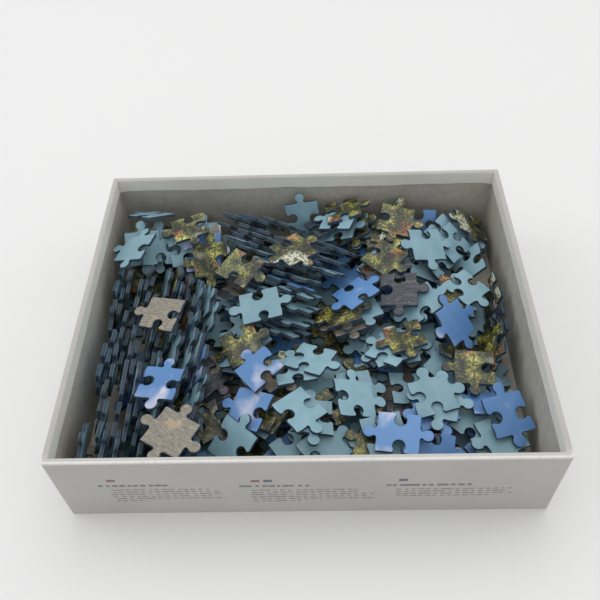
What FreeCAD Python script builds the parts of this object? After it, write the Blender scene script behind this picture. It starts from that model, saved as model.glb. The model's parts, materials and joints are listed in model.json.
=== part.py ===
"""Boxed jigsaw puzzle: the open lower tray of a rigid box with its loose jigsaw of 400 pieces.

The tray is one scored and folded blank of grey board. A paper stay joins each corner, and printed paper
covers the outside, folds over the rim and is turned in along the inside of the walls.
The jigsaw is cut by one die: a grid of uneven cells whose shared sides carry knobs, so every piece is
different and fits its neighbours. The pieces then lie in the tray as a heap: a flat bed, files of pieces
that stand on edge at the left and at the back, a loose layer, and top pieces that can be lifted out.

Frame: X to the right, Y to the back wall, Z up, origin at the middle of the underside. Millimetres.
"""
import math
import os
import random

import FreeCAD
import Part
import Sketcher
from FreeCAD import Matrix, Placement, Vector

doc = FreeCAD.newDocument("boxed_jigsaw")

# ---------------------------------------------------------------- driving dimensions
SIZES = (
    ("box_width", 252.0, "tray outside, X"),
    ("box_depth", 207.0, "tray outside, Y"),
    ("box_height", 57.0, "tray outside, Z"),
    ("board_thick", 2.0, "grey board of the tray"),
    ("fold_radius", 0.8, "outer radius of the scored folds at the floor"),
    ("wrap_thick", 0.25, "covering paper"),
    ("glue_film", 0.15, "glue and stay between board and paper"),
    ("turn_in", 12.0, "paper turned down inside the rim"),
    ("rim_radius", 0.2, "radius where the paper folds over the rim"),
    ("stay_leg", 18.0, "leg of a corner stay"),
    ("stay_thick", 0.1, "paper of a corner stay"),
    ("piece_thick", 2.1, "puzzle board with both papers"),
    ("piece_pitch", 21.7, "one cell of the cutting die"),
    ("knob_radius", 3.15, "mean radius of a knob's head"),
    ("knob_reach", 3.9, "mean height of a head's centre above its side"),
    ("neck_fillet", 1.2, "mean radius at the root of a knob"),
)

sheet = doc.addObject("Spreadsheet::Sheet", "sizes")
for row, (alias, value, note) in enumerate(SIZES, start=1):
    sheet.set(f"A{row}", note)
    sheet.set(f"B{row}", str(value))
    sheet.setAlias(f"B{row}", alias)
doc.recompute()


def size(alias):
    return float(sheet.get(alias))


box_width, box_depth, box_height = size("box_width"), size("box_depth"), size("box_height")
cover = size("wrap_thick") + size("glue_film")
floor_top = cover + size("board_thick")
piece_thick, piece_pitch = size("piece_thick"), size("piece_pitch")

sub_parts = []


def keep(feature, label):
    """Gives a finished sub-part its name and adds it to what is written out."""
    feature.Label = label
    sub_parts.append(feature)
    return feature


# ---------------------------------------------------------------- tray: the folded blank
def centred_rectangle(body, name, across, deep, height):
    """A sketch of a rectangle about the origin, at a height, its three sizes bound to expressions."""
    sketch = body.newObject("Sketcher::SketchObject", name)
    plane = [f for f in body.Origin.OriginFeatures if f.Role == "XY_Plane"][0]
    sketch.AttachmentSupport = [(plane, "")]
    sketch.MapMode = "FlatFace"
    sketch.setExpression("AttachmentOffset.Base.z", height)
    corners = [Vector(-9, -7, 0), Vector(9, -7, 0), Vector(9, 7, 0), Vector(-9, 7, 0)]
    for start, end in zip(corners, corners[1:] + corners[:1]):
        sketch.addGeometry(Part.LineSegment(start, end), False)
    for line in range(4):
        sketch.addConstraint(Sketcher.Constraint("Coincident", line, 2, (line + 1) % 4, 1))
    for line in (0, 2):
        sketch.addConstraint(Sketcher.Constraint("Horizontal", line))
    for line in (1, 3):
        sketch.addConstraint(Sketcher.Constraint("Vertical", line))
    sketch.addConstraint(Sketcher.Constraint("Symmetric", 0, 1, 2, 1, -1, 1))
    for line, length, rule in ((0, 18, across), (1, 14, deep)):
        number = sketch.addConstraint(Sketcher.Constraint("Distance", line, length))
        sketch.setExpression(f"Constraints[{number}]", rule)
    return sketch


def make_tray_board():
    body = doc.addObject("PartDesign::Body", "tray_board_body")
    skin = "2 * (sizes.wrap_thick + sizes.glue_film)"
    walls = skin + " + 2 * sizes.board_thick"
    outside = centred_rectangle(
        body, "blank_outside", f"sizes.box_width - {skin}", f"sizes.box_depth - {skin}",
        "sizes.wrap_thick + sizes.glue_film",
    )
    block = body.newObject("PartDesign::Pad", "folded_block")
    block.Profile = outside
    block.setExpression("Length", f"sizes.box_height - {skin}")
    doc.recompute()
    inside = centred_rectangle(
        body, "blank_inside", f"sizes.box_width - ({walls})", f"sizes.box_depth - ({walls})",
        "sizes.box_height - sizes.wrap_thick - sizes.glue_film",
    )
    hollow = body.newObject("PartDesign::Pocket", "tray_hollow")
    hollow.Profile = inside
    hollow.setExpression("Length", f"sizes.box_height - {skin} - sizes.board_thick")
    doc.recompute()
    folds = []
    for number, edge in enumerate(hollow.Shape.Edges, start=1):
        on_outside = max(abs(edge.CenterOfMass.x) - box_width / 2, abs(edge.CenterOfMass.y) - box_depth / 2)
        if abs(edge.BoundBox.ZMax - cover) < 0.01 and on_outside > -1.0:
            folds.append(f"Edge{number}")
    rounded = body.newObject("PartDesign::Fillet", "scored_folds")
    rounded.Base = (hollow, folds)
    rounded.setExpression("Radius", "sizes.fold_radius")
    body.Tip = rounded
    doc.recompute()
    if hollow.Shape.Volume > 0.5 * block.Shape.Volume:
        raise RuntimeError("the tray's hollow was not cut")
    return keep(body, "tray_board")


# ---------------------------------------------------------------- tray: covering paper
def bound_box(name, length, width, height, x, y, z):
    """A Part::Box whose sizes and place are all expressions on the sheet."""
    box = doc.addObject("Part::Box", name)
    for prop, rule in (
        ("Length", length), ("Width", width), ("Height", height),
        ("Placement.Base.x", x), ("Placement.Base.y", y), ("Placement.Base.z", z),
    ):
        box.setExpression(prop, rule)
    return box


def fused(name, boxes):
    fuse = doc.addObject("Part::MultiFuse", name)
    fuse.Shapes = boxes
    fuse.Refine = True
    return fuse


def make_wrap_panel(label, along_x, sign):
    """One side of the covering paper: outer sheet, rim strip and the strip turned in behind the wall."""
    paper, depth = "sizes.wrap_thick", "sizes.turn_in"
    wall = "(sizes.board_thick + 2 * sizes.glue_film + 2 * sizes.wrap_thick)"
    if along_x:
        run, half = "sizes.box_width", "sizes.box_depth / 2"
        outer_run = run
    else:
        run, half = "sizes.box_depth", "sizes.box_width / 2"
        outer_run = f"({run} - 2 * {paper})"
    inner_run = f"({run} - 2 * {wall})"
    if along_x:
        inner_run = f"({run} - 2 * {wall} + 2 * {paper})"
    rim_run = outer_run if along_x else f"({run} - 2 * {wall})"

    def strip(name, length, thick, inset, height, low):
        """A strip centred on the wall; inset is the distance of its outer face from the outside."""
        across = f"{half} - {inset} - {thick}" if sign > 0 else f"-({half}) + {inset}"
        start = f"-({length}) / 2"
        if along_x:
            return bound_box(name, length, thick, height, start, across, low)
        return bound_box(name, thick, length, height, across, start, low)

    height = "sizes.box_height" if along_x else f"(sizes.box_height - {paper})"
    outer = strip(f"{label}_outer", outer_run, paper, "0", height, "0")
    rim = strip(f"{label}_rim", rim_run, wall, "0", paper, f"sizes.box_height - {paper}")
    inner = strip(
        f"{label}_turn_in", inner_run, paper, f"({wall} - {paper})", depth, f"sizes.box_height - {depth}",
    )
    panel = fused(f"{label}_sheet", [outer, rim, inner])
    doc.recompute()
    folds = []
    for number, edge in enumerate(panel.Shape.Edges, start=1):
        flat = edge.BoundBox.ZLength < 0.01 and abs(edge.BoundBox.ZMax - box_height) < 0.01
        if flat and edge.Length > 0.7 * (box_width if along_x else box_depth):
            folds.append((number, size("rim_radius"), size("rim_radius")))
    rounded = doc.addObject("Part::Fillet", f"{label}_folded")
    rounded.Base = panel
    rounded.Edges = folds
    return keep(rounded, label)


def make_base_sheet():
    run = "(sizes.box_{} - 2 * sizes.wrap_thick)"
    across, deep = run.format("width"), run.format("depth")
    sheet_box = bound_box("base_sheet_box", across, deep, "sizes.wrap_thick",
                          f"-{across} / 2", f"-{deep} / 2", "0")
    return keep(sheet_box, "wrap_base")


def make_corner_stay(label, side_x, side_y):
    """Paper angle glued round the outside of a corner, under the covering paper."""
    thick, leg = "sizes.stay_thick", "sizes.stay_leg"
    height = "(sizes.box_height - 6 * sizes.board_thick)"
    low = "3 * sizes.board_thick"
    film = "(sizes.wrap_thick + (sizes.glue_film - sizes.stay_thick) / 2)"
    far_x, far_y = f"(sizes.box_width / 2 - {film})", f"(sizes.box_depth / 2 - {film})"
    x_leg = f"{far_x} - {leg}" if side_x > 0 else f"-{far_x}"
    y_leg = f"{far_y} - {leg}" if side_y > 0 else f"-{far_y}"
    x_thin = f"{far_x} - {thick}" if side_x > 0 else f"-{far_x}"
    y_thin = f"{far_y} - {thick}" if side_y > 0 else f"-{far_y}"
    along_x = bound_box(f"{label}_x_leg", leg, thick, height, x_leg, y_thin, low)
    along_y = bound_box(f"{label}_y_leg", thick, leg, height, x_thin, y_leg, low)
    return keep(fused(f"{label}_angle", [along_x, along_y]), label)


# ---------------------------------------------------------------- jigsaw: the cutting die
COLUMNS, ROWS = 25, 16
DIE_SEED = 300
CORNER_SHIFT = 0.7      # how far a corner of the die strays from the grid
KNOB_SHIFT = 1.0        # how far a knob strays from the middle of its side
SHOULDER_BOW = 0.35     # bow of the straight stretches beside a knob
HEAD_SAGITTA = 2.5      # an arc that rises more than this is a knob's head
HEAD_STEPS, ARC_STEPS = 6, 2    # straight steps along a head and along any other arc, for the height map


def knobbed_side(start, end, rng):
    """A side of the die from start to end as five arcs (start, middle, end): shoulder, fillet, head, fillet,
    shoulder. The knob rises to the left of the side, or to the right if the die flips it."""
    along = (end - start).normalize()
    rise = Vector(-along.y, along.x, 0) * rng.choice((-1, 1))
    length = (end - start).Length
    radius = size("knob_radius") * rng.uniform(0.92, 1.08)
    reach = size("knob_reach") * rng.uniform(0.95, 1.05)
    middle = length / 2 + rng.uniform(-KNOB_SHIFT, KNOB_SHIFT)
    head = start + along * middle + rise * reach
    roots, tangents, fillets = [], [], []
    for way in (-1, 1):
        fillet = size("neck_fillet") * rng.uniform(0.85, 1.2)
        offset = math.sqrt((radius + fillet) ** 2 - (reach - fillet) ** 2)
        centre = start + along * (middle + way * offset) + rise * fillet
        roots.append(start + along * (middle + way * offset))
        tangents.append(centre + (head - centre).normalize() * fillet)
        fillets.append((centre, fillet))
    bows = [rise * rng.uniform(-SHOULDER_BOW, SHOULDER_BOW) for _ in range(2)]

    def fillet_arc(which, first, last):
        centre, fillet = fillets[which]
        inward = ((first + last) * 0.5 - centre).normalize()
        return first, centre + inward * fillet, last

    return [
        (start, (start + roots[0]) * 0.5 + bows[0], roots[0]),
        fillet_arc(0, roots[0], tangents[0]),
        (tangents[0], head + rise * radius, tangents[1]),
        fillet_arc(1, tangents[1], roots[1]),
        (roots[1], (roots[1] + end) * 0.5 + bows[1], end),
    ]


def reversed_side(side):
    return [(end, middle, start) for start, middle, end in reversed(side)]


def arc_points(start, middle, end, count):
    """Points along an arc through three points, without its end."""
    circle = Part.Arc(start, middle, end)
    low, high = circle.FirstParameter, circle.LastParameter
    points = [circle.value(low + (high - low) * step / count) for step in range(count)]
    if (points[0] - start).Length > 1e-6:
        points = [circle.value(high - (high - low) * step / count) for step in range(count)]
    return points


class Piece:
    """One piece of the jigsaw, its outline centred on its centroid, printed side up at z = piece_thick."""

    def __init__(self, sides):
        arcs = [arc for side in sides for arc in side]
        outline = []
        for arc in arcs:
            steps = HEAD_STEPS if self.is_head(arc) else ARC_STEPS
            outline += [arc[0]] if len(arc) == 2 else arc_points(*arc, steps)
        twice_area, cx, cy = 0.0, 0.0, 0.0
        for a, b in zip(outline, outline[1:] + outline[:1]):
            cross = a.x * b.y - b.x * a.y
            twice_area += cross
            cx += (a.x + b.x) * cross
            cy += (a.y + b.y) * cross
        centre = Vector(cx / (3 * twice_area), cy / (3 * twice_area), 0)
        self.arcs = [tuple(p - centre for p in arc) for arc in arcs]
        self.outline = [p - centre for p in outline]

    @staticmethod
    def is_head(arc):
        return len(arc) == 3 and (arc[1] - (arc[0] + arc[2]) * 0.5).Length > HEAD_SAGITTA

    def edges(self):
        return [
            Part.LineSegment(*arc) if len(arc) == 2 else Part.Arc(*arc)
            for arc in self.arcs
        ]

    def solid(self, matrix):
        wire = Part.Wire([edge.toShape() for edge in self.edges()])
        body = Part.Face(wire).extrude(Vector(0, 0, piece_thick))
        return body.transformShape(matrix, True)


def cut_the_jigsaw():
    """Every piece of the die, row by row."""
    rng = random.Random(DIE_SEED)
    corner = {}
    for i in range(COLUMNS + 1):
        for j in range(ROWS + 1):
            shift_x = rng.uniform(-CORNER_SHIFT, CORNER_SHIFT) if 0 < i < COLUMNS else 0.0
            shift_y = rng.uniform(-CORNER_SHIFT, CORNER_SHIFT) if 0 < j < ROWS else 0.0
            corner[i, j] = Vector(i * piece_pitch + shift_x, j * piece_pitch + shift_y, 0)
    level, upright = {}, {}
    for i in range(COLUMNS + 1):
        for j in range(ROWS + 1):
            if i < COLUMNS:
                ends = corner[i, j], corner[i + 1, j]
                level[i, j] = knobbed_side(*ends, rng) if 0 < j < ROWS else [ends]
            if j < ROWS:
                ends = corner[i, j], corner[i, j + 1]
                upright[i, j] = knobbed_side(*ends, rng) if 0 < i < COLUMNS else [ends]
    pieces = []
    for j in range(ROWS):
        for i in range(COLUMNS):
            top, left = level[i, j + 1], upright[i, j]
            turned = [
                reversed_side(side) if len(side) > 1 else [(side[0][1], side[0][0])]
                for side in (top, left)
            ]
            pieces.append(Piece([level[i, j], upright[i + 1, j], *turned]))
    rng.shuffle(pieces)
    return pieces


# ---------------------------------------------------------------- jigsaw: how the heap settles
CELL = 0.6              # grid of the height map
AIR = 0.16              # least gap between two pieces, measured upright
WALL_GAP = 1.0          # least gap between a piece and a wall's paper
FAR = 400.0             # further out than any piece
STEEP = 0.8             # a piece whose normal rises less than this is mapped at more levels
inner_x = box_width / 2 - cover * 2 - size("board_thick") - WALL_GAP
inner_y = box_depth / 2 - cover * 2 - size("board_thick") - WALL_GAP
cells_x = int(2 * inner_x / CELL) + 1
cells_y = int(2 * inner_y / CELL) + 1


class Pose:
    """Where a piece lies: its three axes and the place of its underside's centroid."""

    def __init__(self, across, up_slope, normal, place):
        self.across, self.up_slope, self.normal, self.place = across, up_slope, normal, place

    def point(self, p, height):
        return self.place + self.across * p.x + self.up_slope * p.y + self.normal * height

    def matrix(self):
        a, b, n, p = self.across, self.up_slope, self.normal, self.place
        return Matrix(a.x, b.x, n.x, p.x, a.y, b.y, n.y, p.y, a.z, b.z, n.z, p.z, 0, 0, 0, 1)


def pose_on_plane(x, y, slope_x, slope_y, yaw):
    """A pose whose underside lies along z = slope_x * x + slope_y * y, turned by yaw."""
    normal = Vector(-slope_x, -slope_y, 1).normalize()
    across = Vector(math.cos(yaw), math.sin(yaw), slope_x * math.cos(yaw) + slope_y * math.sin(yaw))
    across.normalize()
    return Pose(across, normal.cross(across), normal, Vector(x, y, 0))


def pose_on_edge(x, y, facing, lean, roll):
    """A pose whose upper side faces a compass direction, tipped by lean from flat, rolled in its plane."""
    normal = Vector(math.sin(lean) * math.cos(facing), math.sin(lean) * math.sin(facing), math.cos(lean))
    level = Vector(-math.sin(facing), math.cos(facing), 0)
    slope = normal.cross(level)
    across = level * math.cos(roll) + slope * math.sin(roll)
    return Pose(across, normal.cross(across), normal, Vector(x, y, 0))


def fill_polygon(points, found):
    """Adds every cell whose centre is inside the polygon of (x, y) grid points."""
    low = max(int(math.floor(min(p[1] for p in points))), 0)
    high = min(int(math.ceil(max(p[1] for p in points))), cells_y - 1)
    spans = list(zip(points, points[1:] + points[:1]))
    for row in range(low, high + 1):
        line, crossings = row + 0.5, []
        for (ax, ay), (bx, by) in spans:
            if (ay <= line) != (by <= line):
                crossings.append(ax + (line - ay) * (bx - ax) / (by - ay))
        crossings.sort()
        for left, right in zip(crossings[::2], crossings[1::2]):
            for column in range(int(math.ceil(left - 0.5)), int(math.floor(right - 0.5)) + 1):
                found.add(row * cells_x + column)


class Heap:
    """The settled pieces, and a height map that is never below their upper surface."""

    def __init__(self):
        self.top = [floor_top] * (cells_x * cells_y)
        self.laid = []          # (group, piece, pose)
        self.stock = cut_the_jigsaw()

    def footprint(self, piece, pose):
        """Cells under the piece with its lowest and highest point, or None if it would cross a wall."""
        steep = pose.normal.z < STEEP
        levels = [piece_thick * share for share in ((0, 0.2, 0.4, 0.6, 0.8, 1) if steep else (0, 0.5, 1))]
        rings, low, high = [], 1e9, -1e9
        for level in levels:
            ring = []
            for p in piece.outline:
                q = pose.point(p, level)
                if abs(q.x) > inner_x or abs(q.y) > inner_y:
                    return None
                low, high = min(low, q.z), max(high, q.z)
                ring.append(((q.x + inner_x) / CELL, (q.y + inner_y) / CELL))
            rings.append(ring)
        found = set()
        fill_polygon(rings[0], found)
        if steep:
            fill_polygon(rings[-1], found)
        for ring in rings:
            for (ax, ay), (bx, by) in zip(ring, ring[1:] + ring[:1]):
                steps = int(max(abs(bx - ax), abs(by - ay)) * 2) + 1
                step_x, step_y = (bx - ax) / steps, (by - ay) / steps
                for k in range(steps):
                    found.add(int(ay + step_y * k) * cells_x + int(ax + step_x * k))
        return found, low, high

    def resting_plane(self, cells, x, y):
        """Slopes of the lowest plane over the cells above their height at (x, y): where a sheet comes to
        rest on three points round its centroid. Each step swaps in the point that sticks out most."""
        points = [
            ((k % cells_x + 0.5) * CELL - inner_x, (k // cells_x + 0.5) * CELL - inner_y, self.top[k])
            for k in cells if k % 3 == 0
        ]
        corners = [(x, y + FAR, -FAR), (x - FAR, y - FAR, -FAR), (x + FAR, y - FAR, -FAR)]
        a = b = 0.0
        for _ in range(40):
            (x1, y1, z1), (x2, y2, z2), (x3, y3, z3) = corners
            det = (x2 - x1) * (y3 - y1) - (x3 - x1) * (y2 - y1)
            if abs(det) < 1e-9:
                break
            a = ((z2 - z1) * (y3 - y1) - (z3 - z1) * (y2 - y1)) / det
            b = ((x2 - x1) * (z3 - z1) - (x3 - x1) * (z2 - z1)) / det
            base = z1 - a * x1 - b * y1
            over, worst = 0.01, None
            for point in points:
                excess = point[2] - a * point[0] - b * point[1] - base
                if excess > over:
                    over, worst = excess, point
            if worst is None:
                break
            for out in range(3):
                trial = list(corners)
                trial[out] = worst
                if self.surrounds(trial, x, y):
                    corners = trial
                    break
            else:
                break
        return a, b

    @staticmethod
    def surrounds(corners, x, y):
        signs = []
        for (ax, ay, _), (bx, by, _) in zip(corners, corners[1:] + corners[:1]):
            signs.append((bx - ax) * (y - ay) - (by - ay) * (x - ax))
        return all(s >= -1e-9 for s in signs) or all(s <= 1e-9 for s in signs)

    def lower(self, piece, pose):
        """Lets the piece down until it just clears what lies below it, and returns its cells or None."""
        shape = self.footprint(piece, pose)
        if shape is None:
            return None
        cells, low, _ = shape
        slope_x, slope_y = -pose.normal.x / pose.normal.z, -pose.normal.y / pose.normal.z
        slack = (abs(slope_x) + abs(slope_y)) * CELL / 2
        lift = -1e9
        for k in cells:
            dx = (k % cells_x + 0.5) * CELL - inner_x - pose.place.x
            dy = (k // cells_x + 0.5) * CELL - inner_y - pose.place.y
            under = pose.place.z + slope_x * dx + slope_y * dy - slack
            lift = max(lift, self.top[k] - max(under, low))
        pose.place = pose.place + Vector(0, 0, lift + AIR)
        return cells

    def lay(self, group, piece, pose, cells):
        """Fixes the piece where it is and raises the height map over it."""
        _, _, high = self.footprint(piece, pose)
        slope_x, slope_y = -pose.normal.x / pose.normal.z, -pose.normal.y / pose.normal.z
        rise = piece_thick / pose.normal.z + (abs(slope_x) + abs(slope_y)) * CELL / 2
        for k in cells:
            dx = (k % cells_x + 0.5) * CELL - inner_x - pose.place.x
            dy = (k // cells_x + 0.5) * CELL - inner_y - pose.place.y
            over = min(pose.place.z + slope_x * dx + slope_y * dy + rise, high)
            self.top[k] = max(self.top[k], over)
        self.laid.append((group, piece, pose))

    def settle(self, piece, x, y, yaw):
        """The pose a piece dropped at (x, y) comes to rest in, with its cells; None if it meets a wall."""
        shape = self.footprint(piece, pose_on_plane(x, y, 0.0, 0.0, yaw))
        if shape is None:
            return None
        pose = pose_on_plane(x, y, *self.resting_plane(shape[0], x, y), yaw)
        cells = self.lower(piece, pose)
        return None if cells is None else (pose, cells)

    def hollow_below(self, pose, cells):
        """Mean height of the empty space under a piece."""
        slope_x, slope_y = -pose.normal.x / pose.normal.z, -pose.normal.y / pose.normal.z
        few, total = [k for k in cells if k % 5 == 0], 0.0
        for k in few:
            dx = (k % cells_x + 0.5) * CELL - inner_x - pose.place.x
            dy = (k // cells_x + 0.5) * CELL - inner_y - pose.place.y
            total += pose.place.z + slope_x * dx + slope_y * dy - self.top[k]
        return total / max(len(few), 1)

    def take(self):
        return self.stock.pop(0)


def heap_level(x, y):
    """Height of the heap above the tray's floor, measured by eye on a coarse grid and interpolated."""
    across = (x + inner_x) / (2 * inner_x) * (len(LEVELS[0]) - 1)
    deep = (y + inner_y) / (2 * inner_y) * (len(LEVELS) - 1)
    i = min(max(int(across), 0), len(LEVELS[0]) - 2)
    j = min(max(int(deep), 0), len(LEVELS) - 2)
    u, v = across - i, deep - j
    near = LEVELS[j][i] * (1 - u) + LEVELS[j][i + 1] * u
    far = LEVELS[j + 1][i] * (1 - u) + LEVELS[j + 1][i + 1] * u
    return near * (1 - v) + far * v


MISSES = 12             # a zone counts as full after this many pieces in a row find no place
HOLLOW_COST = 1.5       # how much a millimetre of bridged space weighs against a millimetre of height


def scatter(heap, stage, count, zone, share, over_level, steepest, drops, rng):
    """Drops loose pieces in a zone (low x, high x, low y, high y). Out of a few drops a piece keeps the one
    that lies lowest against its share of the heap's level and bridges the least empty space; it is taken
    away again if it would lie more than over_level above that."""
    low_x, high_x, low_y, high_y = zone
    misses = 0
    for _ in range(count):
        if misses > MISSES or len(heap.stock) <= len(TOP):
            break
        piece, best, best_score = heap.take(), None, 1e9
        for _ in range(drops):
            x, y = rng.uniform(low_x, high_x), rng.uniform(low_y, high_y)
            rest = heap.settle(piece, x, y, rng.uniform(0, 2 * math.pi))
            if not rest or rest[0].normal.z < math.cos(math.radians(steepest)):
                continue
            over = rest[0].place.z - floor_top - share * heap_level(x, y)
            score = over + HOLLOW_COST * heap.hollow_below(*rest)
            if over < over_level and score < best_score:
                best, best_score = rest, score
        if best:
            heap.lay(stage, piece, *best)
            misses = 0
        else:
            heap.stock.append(piece)
            misses += 1


STAND_TRIES = 12        # poses tried for a piece that stands
BRICK = 0.22            # how far a row is shifted against the next, as a share of the spacing


def stand_band(heap, groups, rows, start, facing, lean, step, spacing, highest, rng):
    """Stands pieces on edge in rows, each row leaning on the one before it. The band starts at (x, y) and
    grows towards facing (degrees); lean is the tip from flat of the first and last row, step the distance
    between rows, spacing the distance between pieces in a row. groups names the pieces of a row from left
    to right as seen along facing. highest limits the underside of a piece."""
    way = math.radians(facing)
    ahead, aside = Vector(math.cos(way), math.sin(way), 0), Vector(-math.sin(way), math.cos(way), 0)
    for row in range(rows):
        share = row / (rows - 1)
        for place, group in enumerate(groups):
            piece, best = heap.take(), None
            brick = spacing * (BRICK if row % 2 else -BRICK)
            for _ in range(STAND_TRIES):
                sideways = ((len(groups) - 1) / 2 - place) * spacing + brick + rng.uniform(-2.5, 2.5)
                forward = step * (row + rng.uniform(-0.3, 0.3))
                spot = Vector(*start, 0) + ahead * forward + aside * sideways
                tip = math.radians(lean[0] + (lean[1] - lean[0]) * share + rng.uniform(-3, 3))
                roll = math.radians(90 * rng.randrange(4) + rng.uniform(-7, 7))
                pose = pose_on_edge(spot.x, spot.y, way + rng.uniform(-0.06, 0.06), tip, roll)
                cells = heap.lower(piece, pose)
                if cells and (best is None or pose.place.z < best[0].place.z):
                    best = pose, cells
            if best and best[0].place.z < highest:
                heap.lay(group, piece, *best)
            else:
                heap.stock.append(piece)


# the heap's height above the floor: rows from the front wall to the back, left to right in each
LEVELS = (
    (26.0, 19.0, 15.0, 11.0, 8.0),
    (30.0, 26.0, 21.0, 17.0, 12.0),
    (34.0, 29.0, 25.0, 22.0, 16.0),
    (33.0, 31.0, 28.0, 25.0, 18.0),
)
RIM_GAP = 3.0           # every top piece stays this far below the rim
TOP_TILT = 42           # steepest a top piece may lie, degrees
TOP_TRIES = 160         # places tried for a top piece
TOP_REACH = 0.15        # how much further out each of them may be

# stage, pieces, zone (low x, high x, low y, high y), share of the level, most above it, steepest tilt,
# drops tried
BED = (
    ("bed", 60, (-120, -60, -97, 62), 0.32, 4, 9, 24),
    ("bed", 60, (-60, 20, 5, 97), 0.1, 4, 9, 24),
    ("bed", 160, (20, 120, -97, 97), 0.4, 4, 9, 24),
    ("bed", 110, (-60, 20, -97, 5), 0.4, 4, 9, 24),
)
LOOSE = (
    ("loose", 190, (-60, 120, -97, 97), 1.0, 4, 36, 16),
    ("loose", 90, (-115, 120, -97, 97), 1.0, 4, 36, 16),
    ("loose", 90, (-90, 120, -97, 97), 1.0, 7, 36, 24),
    ("loose", 90, (-60, 120, -97, 97), 1.0, 11, 40, 30),
)

# pieces of a row from left to right, rows, start, facing, lean, step, spacing, highest underside
BANDS = (
    (("left_file_front", "left_file_front", "left_file_middle", "left_file_middle", "left_file_back"),
     21, (-58, -30), 178, (58, 80), 2.9, 25.0, 34),
    (("back_left_fan_right", "back_left_fan_left"), 15, (-90, 86), -80, (22, 42), 4.0, 27.0, 38),
    (("back_file_left", "back_file_middle", "back_file_right"), 20, (-40, 14), 63, (40, 52), 3.5, 26.0, 36),
    (("back_wall_leaners",), 3, (2, 91), -90, (66, 50), 5.0, 20.0, 33),
    (("back_wall_leaners",), 2, (70, 91), -90, (68, 52), 5.0, 20.0, 30),
    (("right_wall_leaners",) * 4, 3, (114, 30), 180, (72, 50), 4.5, 25.0, 24),
)

# where the top pieces lie, before they are shifted clear of each other
TOP = (
    (-82, -6), (-38, 28), (-6, 40), (27, 86), (56, 86), (76, 54), (30, 24), (58, 18), (56, -16), (86, -4),
    (94, -32), (108, -62), (70, -50), (48, -76), (28, -52), (-8, -66), (6, -32), (-26, -38), (-38, -78),
    (-66, -84), (-76, -54), (-26, 2), (-102, 82), (-106, 47), (-74, 62), (105, 22),
)

HEAP_SEED = 21
heap = Heap()
rng = random.Random(HEAP_SEED)


def settle_the_heap():
    for bed in BED:
        scatter(heap, *bed, rng)
    for band in BANDS:
        stand_band(heap, *band, rng)
    for loose in LOOSE:
        scatter(heap, *loose, rng)


def lay_top_pieces():
    """Lays the pieces that can be lifted out one by one: nothing lies on them and no two overlap in plan."""
    taken = set()
    for number, (x, y) in enumerate(TOP, start=1):
        piece, best, best_score = heap.take(), None, 1e9
        for attempt in range(TOP_TRIES):
            reach = TOP_REACH * attempt
            px, py = x + rng.uniform(-reach, reach), y + rng.uniform(-reach, reach)
            rest = heap.settle(piece, px, py, rng.uniform(0, 2 * math.pi))
            if not rest or taken & rest[1] or rest[0].normal.z < math.cos(math.radians(TOP_TILT)):
                continue
            score = rest[0].place.z + reach + heap.hollow_below(*rest)
            if score < best_score and heap.footprint(piece, rest[0])[2] < box_height - RIM_GAP:
                best, best_score = rest, score
        if best is None:
            raise RuntimeError(f"there is no free place for top piece {number}")
        heap.lay(f"top_piece_{number:02d}", piece, *best)
        taken |= best[1]


def group_of(stage, pose):
    """Pieces of the bed are grouped by thirds of the width, loose pieces also by front and back."""
    x, y = pose.place.x, pose.place.y
    side = "left" if x < -25 else "middle" if x < 45 else "right"
    if stage == "bed":
        return f"bed_{side}"
    return f"loose_{'front' if y < 0 else 'back'}_{side}" if stage == "loose" else stage


def make_group(label, laid):
    """Pieces that lie still together, as separate solids in one sub-part."""
    feature = doc.addObject("Part::Feature", label)
    feature.Shape = Part.Compound([piece.solid(pose.matrix()) for piece, pose in laid])
    return keep(feature, label)


def make_top_piece(label, piece, pose):
    """One piece as a die-cut outline padded to the thickness of the board, placed where it lies."""
    body = doc.addObject("PartDesign::Body", f"{label}_body")
    outline = body.newObject("Sketcher::SketchObject", f"{label}_die_line")
    plane = [f for f in body.Origin.OriginFeatures if f.Role == "XY_Plane"][0]
    outline.AttachmentSupport = [(plane, "")]
    outline.MapMode = "FlatFace"
    outline.addGeometry(piece.edges(), False)
    pad = body.newObject("PartDesign::Pad", f"{label}_board")
    pad.Profile = outline
    pad.setExpression("Length", "sizes.piece_thick")
    body.Tip = pad
    body.Placement = Placement(pose.matrix())
    return keep(body, label)


for panel, along_x, sign in (
    ("wrap_front", True, -1), ("wrap_back", True, 1), ("wrap_left", False, -1), ("wrap_right", False, 1),
):
    make_wrap_panel(panel, along_x, sign)
make_base_sheet()
make_tray_board()
for stay, side_x, side_y in (
    ("corner_stay_front_left", -1, -1), ("corner_stay_front_right", 1, -1),
    ("corner_stay_back_left", -1, 1), ("corner_stay_back_right", 1, 1),
):
    make_corner_stay(stay, side_x, side_y)

settle_the_heap()
lay_top_pieces()
groups = {}
for stage, piece, pose in heap.laid:
    groups.setdefault(group_of(stage, pose), []).append((piece, pose))
for group, laid in groups.items():
    if group.startswith("top_piece"):
        make_top_piece(group, *laid[0])
    else:
        make_group(group, laid)
doc.recompute()

os.makedirs("parts", exist_ok=True)
for part in sub_parts:
    if {"Invalid", "Error"} & set(part.State):
        raise RuntimeError(f"{part.Label} did not recompute: {part.State}")
    if part.Shape.isNull() or not part.Shape.isValid():
        raise RuntimeError(f"{part.Label} has no valid shape")
    part.Shape.exportStep(f"parts/{part.Label}.step")
print(len(sub_parts), "sub-parts,", len(heap.laid), "pieces laid,", len(heap.stock), "left over")
for group, laid in groups.items():
    print(group, len(laid), round(max(pose.place.z for _, pose in laid), 1))
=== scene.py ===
import json
import math
import random

import bmesh
import bpy
from mathutils import Matrix, Vector


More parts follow.
